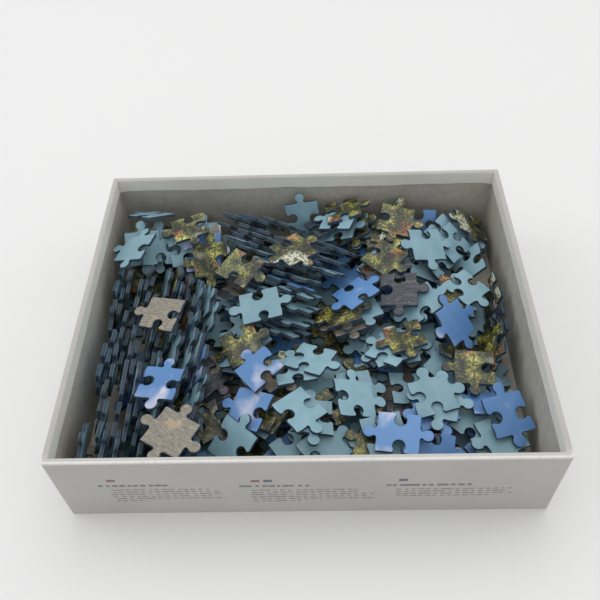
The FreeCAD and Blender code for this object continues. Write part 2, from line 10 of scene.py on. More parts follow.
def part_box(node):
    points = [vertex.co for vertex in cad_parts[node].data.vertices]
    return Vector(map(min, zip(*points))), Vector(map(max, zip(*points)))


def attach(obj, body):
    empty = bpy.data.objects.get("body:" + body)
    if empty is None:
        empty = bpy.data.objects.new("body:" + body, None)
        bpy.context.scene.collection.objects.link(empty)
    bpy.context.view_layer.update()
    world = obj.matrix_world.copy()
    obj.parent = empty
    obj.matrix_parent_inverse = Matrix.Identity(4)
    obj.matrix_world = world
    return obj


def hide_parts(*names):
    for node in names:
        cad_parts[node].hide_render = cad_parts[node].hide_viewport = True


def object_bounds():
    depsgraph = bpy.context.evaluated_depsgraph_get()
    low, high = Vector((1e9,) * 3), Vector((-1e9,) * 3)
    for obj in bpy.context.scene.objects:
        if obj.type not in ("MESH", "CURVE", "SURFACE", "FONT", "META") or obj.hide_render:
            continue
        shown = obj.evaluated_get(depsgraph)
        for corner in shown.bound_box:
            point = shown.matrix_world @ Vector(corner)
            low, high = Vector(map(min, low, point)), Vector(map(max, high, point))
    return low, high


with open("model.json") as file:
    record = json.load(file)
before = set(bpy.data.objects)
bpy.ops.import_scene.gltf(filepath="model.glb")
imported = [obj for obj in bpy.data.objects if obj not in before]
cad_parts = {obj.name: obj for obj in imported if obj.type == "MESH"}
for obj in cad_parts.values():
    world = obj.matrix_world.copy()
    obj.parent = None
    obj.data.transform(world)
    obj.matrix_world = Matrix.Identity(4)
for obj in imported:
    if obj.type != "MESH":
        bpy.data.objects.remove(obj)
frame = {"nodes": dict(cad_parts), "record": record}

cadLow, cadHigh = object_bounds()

print("frame loaded:", len(frame["nodes"]), "nodes")

mm = 0.001


def white(level):
    return (level, level, level, 1.0)


def colour(red, green, blue):
    return (red, green, blue, 1.0)


class Wire:
    # one output of a shader node, ready for sums
    def __init__(self, finish, socket):
        self.finish = finish
        self.socket = socket

    def maths(self, operation, *values, clamp=False):
        settings = {"operation": operation, "use_clamp": clamp}
        return self.finish.node("ShaderNodeMath", settings, dict(enumerate(values)))

    def __add__(self, other):
        return self.maths("ADD", self, other)

    def __radd__(self, other):
        return self.maths("ADD", other, self)

    def __sub__(self, other):
        return self.maths("SUBTRACT", self, other)

    def __rsub__(self, other):
        return self.maths("SUBTRACT", other, self)

    def __mul__(self, other):
        return self.maths("MULTIPLY", self, other)

    def __rmul__(self, other):
        return self.maths("MULTIPLY", other, self)

    def clamped(self):
        return self.maths("ADD", self, 0.0, clamp=True)

    def step(self, low, high):
        # 0 below low and 1 above high, smooth between; the other way round if high is the lower
        flip = high < low
        values = {"Value": self, "From Min": min(low, high), "From Max": max(low, high)}
        values |= {"To Min": 1.0 if flip else 0.0, "To Max": 0.0 if flip else 1.0}
        return self.finish.node("ShaderNodeMapRange", {"interpolation_type": "SMOOTHSTEP"}, values)


class Finish:
    # a material under construction
    def __init__(self, name, **fixed):
        self.material = bpy.data.materials.new(name)
        self.material.use_nodes = True
        self.tree = self.material.node_tree
        self.surface = self.tree.nodes["Principled BSDF"]
        for socket, value in fixed.items():
            self.surface.inputs[socket.replace("_", " ")].default_value = value

    def node(self, kind, settings=None, values=None, out=0):
        made = self.tree.nodes.new(kind)
        for key, value in (settings or {}).items():
            if key == "stops":
                self.setStops(made.color_ramp, value)
            else:
                setattr(made, key, value)
        for key, value in (values or {}).items():
            if isinstance(value, Wire):
                self.tree.links.new(value.socket, made.inputs[key])
            else:
                made.inputs[key].default_value = value
        return Wire(self, made.outputs[out])

    def setStops(self, ramp, stops):
        while len(ramp.elements) < len(stops):
            ramp.elements.new(0.5)
        for element, (place, shade) in zip(ramp.elements, stops):
            element.position = place
            element.color = shade

    def attribute(self, name, out="Vector"):
        return self.node("ShaderNodeAttribute", {"attribute_name": name}, out=out)

    def objectPlace(self):
        return self.node("ShaderNodeTexCoord", out="Object")

    def stretched(self, place, scale):
        return self.node("ShaderNodeMapping", values={"Vector": place, "Scale": scale})

    def noise(self, place, scale, detail=3.0, roughness=0.5, distortion=0.0):
        values = {"Vector": place, "Scale": scale, "Detail": detail}
        values |= {"Roughness": roughness, "Distortion": distortion}
        return self.node("ShaderNodeTexNoise", values=values)

    def cells(self, place, scale, out="Distance"):
        return self.node("ShaderNodeTexVoronoi", values={"Vector": place, "Scale": scale}, out=out)

    def ramp(self, factor, stops):
        made = self.node("ShaderNodeValToRGB", {"stops": stops}, {"Fac": factor})
        made.socket.node.color_ramp.interpolation = "EASE"
        return made

    def mix(self, factor, first, second, blend="MIX"):
        settings = {"data_type": "RGBA", "blend_type": blend}
        return self.node("ShaderNodeMix", settings, {0: factor, 6: first, 7: second}, out=2)

    def paint(self, socket, wire):
        self.tree.links.new(wire.socket, self.surface.inputs[socket])

    def relief(self, height, distance, strength):
        values = {"Height": height, "Distance": distance, "Strength": strength}
        self.paint("Normal", self.node("ShaderNodeBump", values=values))


# each finish has its colours and the scales of its noises in a dictionary
coverPaper = {
    # the outer colour is the paper darkened as painted shade for the dim front wall; the turned-in colour is
    # the same paper painted lighter to offset the shade inside the tray
    "outside": colour(0.460, 0.445, 0.422),
    "turnedIn": colour(0.780, 0.768, 0.715),
    "fleece": colour(0.62, 0.61, 0.58),
    # pale whitening: wear at the cut edges and the foot, and a painted highlight along the front rim
    "worn": colour(0.82, 0.81, 0.78),
    "cockleScale": 26.0,
    "fibreScale": 1600.0,
    "rubScale": 420.0,
}


def makeCoverPaper():
    f = Finish("coverPaper", Roughness=0.55)
    place = f.objectPlace()
    cockle = f.noise(place, coverPaper["cockleScale"], 3.0, 0.6)
    fibre = f.noise(place, coverPaper["fibreScale"], 2.0, 0.7)
    # painted light: the turned-in strip takes the lighter copy of the paper, the rest the darker, shaded
    # copy
    tone = f.mix(f.attribute("inside", "Fac"), coverPaper["outside"], coverPaper["turnedIn"])
    tone = f.mix(1.0, tone, 1.03 - cockle.step(0.35, 0.7) * 0.06, "MULTIPLY")
    tone = f.mix(fibre.step(0.55, 0.8) * 0.08, tone, coverPaper["fleece"])
    # whitening: real wear, and along the front rim a painted highlight; noise breaks it into patches
    whiteningPatches = 0.55 + f.noise(place, coverPaper["rubScale"], 3.0) * 0.9
    whitened = (f.attribute("wear", "Fac") * whiteningPatches).clamped()
    f.paint("Base Color", f.mix(whitened, tone, coverPaper["worn"]))
    f.paint("Roughness", 0.50 + fibre * 0.18)
    f.relief(cockle * 0.8 + fibre * 0.08, 0.0002, 0.4)
    return f.material


greyBoard = {
    "dark": colour(0.37, 0.355, 0.315),
    "light": colour(0.52, 0.50, 0.445),
    "fleck": colour(0.12, 0.11, 0.09),
    "strand": colour(0.46, 0.44, 0.40),
    "pulpScale": 240.0,
    "driftScale": 22.0,
    "fleckScale": 900.0,
    "strandScale": (260.0, 260.0, 1900.0),
}


def makeGreyBoard():
    f = Finish("greyBoard", Roughness=0.85)
    place = f.objectPlace()
    pulp = f.noise(place, greyBoard["pulpScale"], 5.0, 0.65)
    drift = f.noise(place, greyBoard["driftScale"], 2.0)
    tone = f.mix((pulp * 0.6 + drift * 0.5).step(0.3, 0.8), greyBoard["dark"], greyBoard["light"])
    fleck = f.cells(place, greyBoard["fleckScale"])
    tone = f.mix(fleck.step(0.16, 0.05) * 0.35, tone, greyBoard["fleck"])
    strand = f.noise(f.stretched(place, greyBoard["strandScale"]), 1.0, 3.0)
    f.paint("Base Color", f.mix(strand.step(0.55, 0.75) * 0.18, tone, greyBoard["strand"]))
    f.paint("Roughness", 0.78 + pulp * 0.15)
    f.relief(pulp + strand * 0.5, 0.0002, 0.45)
    return f.material


stayPaper = {
    "dark": colour(0.40, 0.31, 0.20),
    "light": colour(0.55, 0.45, 0.31),
    "strandScale": (300.0, 300.0, 2400.0),
}


def makeStayPaper():
    f = Finish("stayPaper", Roughness=0.7)
    strand = f.noise(f.stretched(f.objectPlace(), stayPaper["strandScale"]), 1.0, 4.0)
    f.paint("Base Color", f.mix(strand, stayPaper["dark"], stayPaper["light"]))
    f.relief(strand, 0.0001, 0.4)
    return f.material


inks = {
    "textInk": colour(0.14, 0.14, 0.145),
    "chipWarm": colour(0.22, 0.09, 0.055),
    "chipCool": colour(0.07, 0.08, 0.18),
}
inkGrainScale = 2500.0


def makeInk(name):
    f = Finish(name, Roughness=0.5)
    grain = f.noise(f.objectPlace(), inkGrainScale, 2.0)
    # the gaps in the ink show the outer paper colour, darkened as painted shade
    f.paint("Base Color", f.mix(grain.step(0.3, 0.8) * 0.35, inks[name], coverPaper["outside"]))
    return f.material


# the puzzle's board: its finishes are laid out in millimetres of the printed landscape
backPaper = {
    "shade": colour(0.195, 0.350, 0.425),
    "pale": colour(0.245, 0.410, 0.485),
    "dust": white(0.75),
    "driftScale": 0.09,
    "fibreScale": 2.4,
    "dustScale": 0.55,
    "dustPatchScale": 0.4,
}


def makeBackPaper():
    f = Finish("backPaper", Roughness=0.5)
    place = f.attribute("picture")
    drift = f.noise(place, backPaper["driftScale"], 3.0, 0.55)
    fibre = f.noise(place, backPaper["fibreScale"], 3.0, 0.6)
    tone = f.mix(drift.step(0.3, 0.75), backPaper["shade"], backPaper["pale"])
    tone = f.mix(1.0, tone, 0.86 + f.attribute("tone", "Fac") * 0.28, "MULTIPLY")
    specks = f.cells(place, backPaper["dustScale"]).step(0.055, 0.03)
    dusty = f.noise(place, backPaper["dustPatchScale"], 1.0).step(0.55, 0.6)
    f.paint("Base Color", f.mix(specks * dusty * 0.6, tone, backPaper["dust"]))
    f.paint("Roughness", 0.46 + fibre * 0.16)
    f.relief(fibre, 0.00004, 0.35)
    return f.material


cutEdge = {
    "dark": colour(0.010, 0.020, 0.034),
    "layer": colour(0.045, 0.078, 0.115),
    "scuff": colour(0.085, 0.12, 0.17),
    "printSide": colour(0.10, 0.14, 0.23),
    "backSide": colour(0.13, 0.235, 0.285),
    "layers": 9.0,
    "alongScale": 0.8,
}


def makeCutEdge():
    # depth is 0 at the printed face and 1 at the plain back
    f = Finish("cutEdge", Roughness=0.75)
    depth = f.attribute("depth", "Fac")
    along = f.noise(f.attribute("picture"), cutEdge["alongScale"], 3.0, 0.6)
    strata = f.node("ShaderNodeCombineXYZ", values={0: depth * cutEdge["layers"], 1: along * 1.5})
    layers = f.noise(strata, 1.0, 3.0)
    core = f.mix(layers.step(0.35, 0.7), cutEdge["dark"], cutEdge["layer"])
    core = f.mix(along.step(0.5, 0.75) * 0.4, core, cutEdge["scuff"])
    core = f.mix(depth.step(0.16, 0.06), core, cutEdge["printSide"])
    f.paint("Base Color", f.mix(depth.step(0.86, 0.95), core, cutEdge["backSide"]))
    f.relief(layers + along * 0.6, 0.00008, 0.5)
    return f.material


# the landscape: the top of each band and how soft it is, in millimetres up the printed picture
landscape = {
    "water": (60.0, 1.5),
    "stone": (118.0, 2.0),
    "leaves": (214.0, 1.0),
    "sway": 52.0,
    "swayScale": 0.05,
    "blossomScale": 0.021,
    "weaveScale": 3.2,
}


def past(height, band):
    # 0 below the top of a band and 1 above it
    top, soft = landscape[band]
    return height.step(top - soft, top + soft)


leaves = {
    "green": [
        (0.38, colour(0.006, 0.009, 0.007)), (0.49, colour(0.032, 0.038, 0.015)),
        (0.56, colour(0.10, 0.11, 0.03)), (0.64, colour(0.36, 0.33, 0.055)),
        (0.73, colour(0.72, 0.68, 0.26)),
    ],
    "autumn": [
        (0.38, colour(0.015, 0.010, 0.008)), (0.49, colour(0.11, 0.04, 0.016)),
        (0.58, colour(0.40, 0.15, 0.04)), (0.69, colour(0.76, 0.50, 0.24)),
    ],
    "mossDark": colour(0.02, 0.03, 0.014),
    "mossLight": colour(0.27, 0.29, 0.12),
    "clumpScale": 0.11,
    "leafScale": 0.62,
    "autumnScale": 0.05,
    "mossScale": 0.035,
}


def leafPattern(f, place):
    # twigs and leaves: fine noise broken up by clumps, green and yellow, with patches of autumn colour
    clump = f.noise(place, leaves["clumpScale"], 3.0, 0.6)
    leaf = f.noise(place, leaves["leafScale"], 6.0, 0.78, 0.6)
    light = leaf + (clump - 0.5) * 0.75
    mossy = f.mix(light.step(0.35, 0.65), leaves["mossDark"], leaves["mossLight"])
    moss = f.noise(place, leaves["mossScale"], 2.0).step(0.52, 0.66)
    tone = f.mix(moss * 0.55, f.ramp(light, leaves["green"]), mossy)
    warm = f.noise(place, leaves["autumnScale"], 3.0).step(0.56, 0.64)
    return f.mix(warm * 0.8, tone, f.ramp(light, leaves["autumn"]))


blossom = {
    "gap": colour(0.10, 0.12, 0.05),
    "pale": colour(0.74, 0.74, 0.68),
    "green": colour(0.52, 0.54, 0.30),
    "petalScale": 0.55,
}


def blossomPattern(f, place):
    petal = f.cells(place, blossom["petalScale"])
    tint = f.mix(f.cells(place, blossom["petalScale"], "Color"), blossom["pale"], blossom["green"])
    return f.mix(petal.step(0.85, 0.35), blossom["gap"], tint)


stone = {
    "grain": [
        (0.28, colour(0.04, 0.036, 0.03)), (0.45, colour(0.17, 0.155, 0.125)),
        (0.6, colour(0.33, 0.305, 0.245)), (0.78, colour(0.58, 0.53, 0.43)),
    ],
    "rust": colour(0.52, 0.37, 0.21),
    "grainScale": (0.30, 1.9, 1.0),
    "rustScale": 0.11,
}


def stonePattern(f, place):
    grain = f.noise(f.stretched(place, stone["grainScale"]), 1.0, 5.0, 0.7, 0.8)
    rust = f.noise(place, stone["rustScale"], 3.0).step(0.56, 0.66)
    return f.mix(rust * 0.5, f.ramp(grain, stone["grain"]), stone["rust"])


water = {
    "ripple": [
        (0.3, colour(0.006, 0.009, 0.017)), (0.5, colour(0.022, 0.028, 0.042)),
        (0.68, colour(0.085, 0.085, 0.11)), (0.8, colour(0.30, 0.24, 0.27)),
    ],
    "glint": white(0.85),
    "rippleScale": (0.10, 0.55, 1.0),
    "glintScale": (0.75, 2.0, 1.0),
}


def waterPattern(f, place):
    ripple = f.noise(f.stretched(place, water["rippleScale"]), 1.0, 4.0, 0.6, 0.4)
    glint = f.noise(f.stretched(place, water["glintScale"]), 1.0, 2.0, 0.5)
    crest = glint.step(0.66, 0.70) * ripple.step(0.45, 0.62)
    return f.mix(crest, f.ramp(ripple, water["ripple"]), water["glint"])


sky = {
    "deep": colour(0.055, 0.175, 0.44),
    "clear": colour(0.125, 0.29, 0.58),
    "cloudShade": colour(0.50, 0.52, 0.68),
    "cloudLit": colour(0.80, 0.80, 0.87),
    "rose": colour(0.78, 0.62, 0.66),
    "driftScale": 0.02,
    "billowScale": (0.028, 0.05, 1.0),
    "lightScale": 0.055,
    "cloudTop": 276.0,      # clouds thin out up to here, in millimetres up the printed picture
}


def skyPattern(f, place, height):
    drift = f.noise(place, sky["driftScale"], 2.0)
    billow = f.noise(f.stretched(place, sky["billowScale"]), 1.0, 4.0, 0.5, 0.3)
    lit = f.noise(place, sky["lightScale"], 3.0)
    cloud = f.mix(lit.step(0.35, 0.65), sky["cloudShade"], sky["cloudLit"])
    cloud = f.mix(lit.step(0.45, 0.75) * 0.35, cloud, sky["rose"])
    low = height.step(sky["cloudTop"], landscape["leaves"][0])
    amount = (billow + low * 0.16 - 0.07).step(0.50, 0.70)
    return f.mix(amount, f.mix(drift, sky["deep"], sky["clear"]), cloud)


def makePrintedFace():
    f = Finish("printedFace", Roughness=0.34, Coat_Weight=0.18, Coat_Roughness=0.3)
    place = f.attribute("picture")
    level = f.node("ShaderNodeSeparateXYZ", values={"Vector": place}, out=1)
    sway = f.noise(place, landscape["swayScale"], 4.0, 0.6) - 0.5
    height = level + sway * landscape["sway"]
    flowering = f.noise(place, landscape["blossomScale"], 1.0).step(0.60, 0.64)
    foliage = f.mix(flowering, leafPattern(f, place), blossomPattern(f, place))
    tone = f.mix(past(height, "water"), waterPattern(f, place), stonePattern(f, place))
    tone = f.mix(past(height, "stone"), tone, foliage)
    tone = f.mix(past(height, "leaves"), tone, skyPattern(f, place, level))
    f.paint("Base Color", f.mix(1.0, tone, 0.9 + f.attribute("tone", "Fac") * 0.2, "MULTIPLY"))
    weave = f.noise(place, landscape["weaveScale"], 2.0, 0.5)
    f.paint("Roughness", 0.30 + weave * 0.14)
    f.relief(weave, 0.00003, 0.3)
    return f.material


finishes = {
    "coverPaper": makeCoverPaper(),
    "greyBoard": makeGreyBoard(),
    "stayPaper": makeStayPaper(),
    "backPaper": makeBackPaper(),
    "printedFace": makePrintedFace(),
    "cutEdge": makeCutEdge(),
}
finishes |= {name: makeInk(name) for name in inks}
print("finishes made")


# the jigsaw pieces: lengths in millimetres
pieceEdge = {
    "rings": ((0.0, 0.0), (0.18, 0.06), (0.09, 0.14), (0.03, 0.22)),    # rise and inset of each
    "board": 2.1,
    "backRoll": 0.45,       # the plain back rolls over less than the printed face, which has 1
    "firstRing": 0.07,      # how deep the first ring lies, as a share of the board
    "crease": 50.0,         # degrees
    "seenSlack": 0.02,      # how far an outline may stray from the CAD outline
    "hiddenSlack": 0.06,
    "mitre": 0.6,           # sharper corners than this are blunted
    "merge": 0.002,
}
sameWay = 0.999             # cosine between normals that count as one
sameLevel = 0.05 * mm


def islands(mesh):
    # the separate solids of a mesh, each as a list of bmesh faces, with the bmesh that owns them
    bm = bmesh.new()
    bm.from_mesh(mesh)
    bmesh.ops.remove_doubles(bm, verts=bm.verts, dist=pieceEdge["merge"] * mm)
    bm.faces.ensure_lookup_table()
    seen, found = set(), []
    for face in bm.faces:
        if face.index in seen:
            continue
        seen.add(face.index)
        queue, island = [face], []
        while queue:
            here = queue.pop()
            island.append(here)
            for edge in here.edges:
                for beside in edge.link_faces:
                    if beside.index not in seen:
                        seen.add(beside.index)
                        queue.append(beside)
        found.append(island)
    return bm, found


def capOutline(faces):
    # outline of the cap that faces most upwards, its normal and the board's thickness
    largest = max(faces, key=lambda face: face.calc_area())
    normal = largest.normal.copy()
    if normal.z < 0:
        normal.negate()
    caps = [face for face in faces if face.normal.dot(normal) > sameWay]
    top = max(face.calc_center_median().dot(normal) for face in caps)
    caps = {face for face in caps if abs(face.calc_center_median().dot(normal) - top) < sameLevel}
    low = min(vert.co.dot(normal) for face in faces for vert in face.verts)
    following = {}
    for face in caps:
        for loop in face.loops:
            if sum(1 for beside in loop.edge.link_faces if beside in caps) == 1:
                following[loop.vert] = loop.link_loop_next.vert
    start = min(following, key=lambda vert: (round(vert.co.x, 6), round(vert.co.y, 6)))
    outline, vert = [start.co.copy()], following[start]
    while vert is not start:
        outline.append(vert.co.copy())
        vert = following[vert]
    return outline, normal, top - low


def thinned(points, slack):
    # leaves out the points of a closed outline that lie within slack of the line past them
    kept, anchor, count = [points[0]], 0, len(points)
    for index in range(2, count + 1):
        first, last = points[anchor], points[index % count]
        span = last - first
        if span.length < 1e-9:
            continue
        strays = [(p - first).cross(span).length / span.length for p in points[anchor + 1:index]]
        if max(strays) > slack:
            anchor = index - 1
            kept.append(points[anchor])
    return kept


def inwards(points, normal):
    # for each point of an outline, the way into the piece, as long as a mitre needs it
    ways, count = [], len(points)
    for index in range(count):
        before = (points[index] - points[index - 1]).normalized()
        after = (points[(index + 1) % count] - points[index]).normalized()
        way = normal.cross(before) + normal.cross(after)
        way.normalize()
        ways.append(way / max(way.dot(normal.cross(after)), pieceEdge["mitre"]))
    return ways


def pieceAxes(points, normal):
    # the directions of the die's grid in the plane of the piece, read from its straight stretches
    side = (points[1] - points[0]).normalized()
    up = normal.cross(side)
    turn = Vector((0.0, 0.0))
    for index, point in enumerate(points):
        step = point - points[index - 1]
        angle = 4.0 * math.atan2(step.dot(up), step.dot(side))
        turn += Vector((math.cos(angle), math.sin(angle))) * step.length ** 2
    angle = math.atan2(turn.y, turn.x) / 4.0
    right = side * math.cos(angle) + up * math.sin(angle)
    return right, normal.cross(right)


class Rule:
    # a geometry node tree under construction
    def __init__(self, name, inputs):
        self.tree = bpy.data.node_groups.new(name, "GeometryNodeTree")
        face = self.tree.interface
        face.new_socket("Geometry", in_out="INPUT", socket_type="NodeSocketGeometry")
        face.new_socket("Geometry", in_out="OUTPUT", socket_type="NodeSocketGeometry")
        self.inputs = {}
        for label, kind, value in inputs:
            socket = face.new_socket(label, in_out="INPUT", socket_type=kind)
            socket.default_value = value
            self.inputs[label] = socket.identifier
        self.start = self.tree.nodes.new("NodeGroupInput")
        self.end = self.tree.nodes.new("NodeGroupOutput")

    def given(self, label):
        return self.start.outputs[label]

    def node(self, kind, settings=None, values=None, out=0):
        made = self.tree.nodes.new(kind)
        for key, value in (settings or {}).items():
            setattr(made, key, value)
        for key, value in (values or {}).items():
            if isinstance(value, bpy.types.NodeSocket):
                self.tree.links.new(value, made.inputs[key])
            else:
                made.inputs[key].default_value = value
        return made if out is None else made.outputs[out]

    def maths(self, operation, first, second):
        return self.node("ShaderNodeMath", {"operation": operation}, {0: first, 1: second})

    def logic(self, operation, first, second):
        return self.node("FunctionNodeBooleanMath", {"operation": operation}, {0: first, 1: second})

    def above(self, first, second):
        settings = {"data_type": "FLOAT", "operation": "GREATER_THAN"}
        return self.node("FunctionNodeCompare", settings, {0: first, 1: second})

    def between(self, share, low, high):
        return self.node("ShaderNodeMapRange", values={"Value": share, "To Min": low, "To Max": high})

    def drawn(self, low, high, number, seed):
        # a random amount that depends on a number and a seed
        values = {2: low, 3: high, "ID": number, "Seed": seed}
        return self.node("FunctionNodeRandomValue", {"data_type": "FLOAT"}, values, out=1)

    def scaled(self, vector, amount):
        return self.node("ShaderNodeVectorMath", {"operation": "SCALE"}, {0: vector, "Scale": amount})

    def named(self, label, kind="FLOAT"):
        return self.node("GeometryNodeInputNamedAttribute", {"data_type": kind}, {"Name": label})

    def stored(self, geometry, label, value, selection, domain="POINT"):
        values = {"Geometry": geometry, "Name": label, "Value": value, "Selection": selection}
        return self.node("GeometryNodeStoreNamedAttribute", {"data_type": "FLOAT", "domain": domain}, values)

    def smoothed(self, geometry, domain, smooth, selection=True):
        values = {"Geometry": geometry, "Selection": selection, "Shade Smooth": smooth}
        return self.node("GeometryNodeSetShadeSmooth", {"domain": domain}, values)

    def coated(self, geometry, material, selection=True):
        values = {"Geometry": geometry, "Selection": selection, "Material": material}
        return self.node("GeometryNodeSetMaterial", values=values)

    def finish(self, geometry, coats):
        # the result: real geometry, with each material on its part of it
        geometry = self.node("GeometryNodeRealizeInstances", values={"Geometry": geometry})
        for material, selection in coats:
            geometry = self.coated(geometry, material, selection)
        self.tree.links.new(geometry, self.end.inputs[0])

    def apply(self, thing, values):
        # runs the rule on an object and keeps its result as a plain mesh
        modifier = thing.modifiers.new(self.tree.name, "NODES")
        modifier.node_group = self.tree
        for label, value in values.items():
            modifier[self.inputs[label]] = value
        bpy.context.view_layer.update()
        grown = thing.evaluated_get(bpy.context.evaluated_depsgraph_get())
        mesh = bpy.data.meshes.new_from_object(grown)
        thing.modifiers.clear()
        thing.data = mesh
        mesh.name = thing.name


def makePieceRule():
    # grows both faces of every piece from its middle plane, ring by ring, and rolls them over at the rim
    rule = Rule("pieceBoard", [
        ("Board", "NodeSocketFloat", pieceEdge["board"] * mm),
        ("Front roll", "NodeSocketFloat", 1.0),
        ("Back roll", "NodeSocketFloat", pieceEdge["backRoll"]),
        ("Crease", "NodeSocketFloat", math.radians(pieceEdge["crease"])),
    ])
    printed = rule.named("printed")
    away = rule.named("away", "FLOAT_VECTOR")
    inward = rule.named("inward", "FLOAT_VECTOR")
    spread = rule.between(printed, rule.given("Back roll"), rule.given("Front roll"))
    rolled = sum(rise for rise, inset in pieceEdge["rings"]) * mm
    straight = rule.maths("SUBTRACT", rule.maths("MULTIPLY", rule.given("Board"), 0.5),
                          rule.maths("MULTIPLY", spread, rolled))
    geometry, top = rule.given("Geometry"), True
    for number, (rise, inset) in enumerate(pieceEdge["rings"]):
        height = rule.maths("MULTIPLY", spread, rise * mm) if number else straight
        grown = rule.node("GeometryNodeExtrudeMesh", {"mode": "FACES"}, {
            "Mesh": geometry, "Selection": top, "Offset": rule.scaled(away, height),
            "Offset Scale": 1.0, "Individual": False}, out=None)
        geometry, top = grown.outputs["Mesh"], grown.outputs["Top"]
        if number:
            shift = rule.scaled(inward, rule.maths("MULTIPLY", spread, inset * mm))
            geometry = rule.node("GeometryNodeSetPosition", values={
                "Geometry": geometry, "Selection": top, "Offset": shift})
        if number > 1:
            shown = rule.logic("OR", top, grown.outputs["Side"])
            geometry = rule.stored(geometry, "skin", 1.0, shown, "FACE")
        depth = 0.0 if number else pieceEdge["firstRing"]
        geometry = rule.stored(geometry, "depth", rule.between(printed, 1.0 - depth, depth), top)
    geometry = rule.node("GeometryNodeMergeByDistance", values={
        "Geometry": geometry, "Distance": pieceEdge["merge"] * mm})
    sharp = rule.above(rule.node("GeometryNodeInputMeshEdgeAngle"), rule.given("Crease"))
    geometry = rule.smoothed(geometry, "FACE", True)
    geometry = rule.smoothed(geometry, "EDGE", False, sharp)
    isSkin = rule.above(rule.named("skin"), 0.5)
    isPrint = rule.above(printed, 0.5)
    rule.finish(geometry, (
        (finishes["cutEdge"], True),
        (finishes["printedFace"], rule.logic("AND", isSkin, isPrint)),
        (finishes["backPaper"], rule.logic("NIMPLY", isSkin, isPrint)),
    ))
    return rule


pieceRule = makePieceRule()

# middle of each kind of view in the landscape, mm across and up, and how far a piece may be from it
views = {
    "water": (60.0, 26.0), "stone": (120.0, 88.0), "leaves": (210.0, 160.0), "blossom": (300.0, 175.0),
    "cloud": (150.0, 236.0), "sky": (260.0, 300.0),
}
viewSpread = (40.0, 14.0)

# what each top piece shows: the plain back, or a view
topShows = {
    1: "stone", 2: "leaves", 3: "leaves", 4: "leaves", 5: "blossom", 6: "back", 7: "sky", 8: "water",
    9: "leaves", 10: "sky", 11: "leaves", 12: "sky", 13: "back", 14: "cloud", 15: "back", 16: "back",
    17: "back", 18: "cloud", 19: "back", 20: "stone", 21: "cloud", 22: "back", 23: "back", 24: "back",
    25: "leaves", 26: "back",
}
# how often the other pieces show each
heapShows = {"back": 58, "leaves": 15, "sky": 9, "cloud": 5, "stone": 6, "water": 5, "blossom": 2}
firstPieceSeed = 40


def addPiece(bm, layers, outline, normal, thick, shows, rng):
    # two faces on the middle plane of one piece, back to back, with what the rule needs on their points
    centre = sum(outline, Vector()) / len(outline)
    right, up = pieceAxes(outline, normal)
    quarter = rng.randrange(4) * math.pi / 2.0
    view = views["leaves" if shows == "back" else shows]
    shift = [rng.uniform(-spread, spread) for spread in viewSpread]
    origin = Vector((view[0] + shift[0], view[1] + shift[1], 0.0))
    tone = rng.random()
    ways = inwards(outline, normal)
    middle = normal * (thick / 2.0)
    for upper in (True, False):
        printed = 1.0 if upper == (shows != "back") else 0.0
        verts = []
        for point, way in zip(outline, ways):
            vert = bm.verts.new(point - middle)
            flat = point - centre
            local = Vector((flat.dot(right), flat.dot(up), 0.0)) / mm
            local.rotate(Matrix.Rotation(quarter, 3, "Z"))
            vert[layers["away"]] = normal if upper else -normal
            vert[layers["inward"]] = way
            vert[layers["printed"]] = printed
            vert[layers["tone"]] = tone
            vert[layers["depth"]] = 0.5
            vert[layers["picture"]] = origin + local
            verts.append(vert)
        bm.faces.new(verts if upper else list(reversed(verts)))


def camelName(node):
    first, *rest = node.split("_")
    return first + "".join(word.capitalize() for word in rest)


def makePieces(node, shows, seed, slack):
    # every jigsaw piece of one CAD node, remade with rolled edges, as one object
    rng = random.Random(seed)
    source, solids = islands(frame["nodes"][node].data)
    caps = [capOutline(faces) for faces in solids]
    caps.sort(key=lambda cap: tuple(round(length, 5) for length in cap[0][0]))
    bm = bmesh.new()
    layers = {name: bm.verts.layers.float_vector.new(name) for name in ("away", "inward", "picture")}
    layers |= {name: bm.verts.layers.float.new(name) for name in ("printed", "tone", "depth")}
    for outline, normal, thick in caps:
        shown = shows or rng.choices(list(heapShows), list(heapShows.values()))[0]
        addPiece(bm, layers, thinned(outline, slack), normal, thick, shown, rng)
    source.free()
    mesh = bpy.data.meshes.new(camelName(node))
    bm.to_mesh(mesh)
    bm.free()
    thing = bpy.data.objects.new(camelName(node), mesh)
    bpy.context.collection.objects.link(thing)
    board = caps[-1][2]
    pieceRule.apply(thing, {"Board": board, "Front roll": 1.0, "Back roll": pieceEdge["backRoll"]})
    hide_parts(node)
    return thing


bodyOf = {node: body for body, nodes in frame["record"]["behaviour"]["bodies"].items() for node in nodes}
made = 0
for number, node in enumerate(sorted(frame["nodes"])):
    if node == "tray_board" or node.startswith(("wrap_", "corner_stay")):
        continue
    shows = topShows[int(node[-2:])] if node.startswith("top_piece") else None
    slack = pieceEdge["hiddenSlack" if node.startswith("bed_") else "seenSlack"] * mm
    thing = makePieces(node, shows, firstPieceSeed + number, slack)
    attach(thing, bodyOf[node])
    made += 1
print("jigsaw pieces made in", made, "objects")


